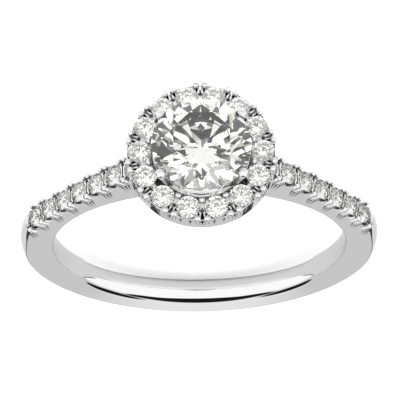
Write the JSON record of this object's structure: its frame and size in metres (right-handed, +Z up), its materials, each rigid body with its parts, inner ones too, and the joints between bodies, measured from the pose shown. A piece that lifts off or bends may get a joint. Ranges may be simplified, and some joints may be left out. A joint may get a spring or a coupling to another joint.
{
  "type": "halo ring",
  "caption": "Finger ring with a round centre stone held in claws, a halo of small stones round it, and a row of small stones set in each shoulder of a slim polished band.",
  "frame": {"origin": "centre of the finger hole, on its axis, midway between the band's two sides", "axes": "+Z up from the surface that the ring lies on, -Y the way the halo and its centre stone face, +X across the halo. The finger hole's axis leans 7.01 degrees from +Z towards +Y, because the ring lies on the halo's rim and the band's edge"},
  "size_m": [0.021, 0.0245, 0.0077],
  "materials": {
    "white_gold": "high polish, rhodium-plated white gold",
    "clear_stone": "polished facets, colourless"
  },
  "bodies": {
    "root": {"mount": "white_gold", "centre_stone": "clear_stone", "halo_stone_1": "clear_stone", "halo_stone_2": "clear_stone", "halo_stone_3": "clear_stone", "halo_stone_4": "clear_stone", "halo_stone_5": "clear_stone", "halo_stone_6": "clear_stone", "halo_stone_7": "clear_stone", "halo_stone_8": "clear_stone", "halo_stone_9": "clear_stone", "halo_stone_10": "clear_stone", "halo_stone_11": "clear_stone", "halo_stone_12": "clear_stone", "halo_stone_13": "clear_stone", "halo_stone_14": "clear_stone", "left_stone_1": "clear_stone", "left_stone_2": "clear_stone", "left_stone_3": "clear_stone", "left_stone_4": "clear_stone", "left_stone_5": "clear_stone", "left_stone_6": "clear_stone", "left_stone_7": "clear_stone", "right_stone_1": "clear_stone", "right_stone_2": "clear_stone", "right_stone_3": "clear_stone", "right_stone_4": "clear_stone", "right_stone_5": "clear_stone", "right_stone_6": "clear_stone", "right_stone_7": "clear_stone"}
  },
  "joints": []
}
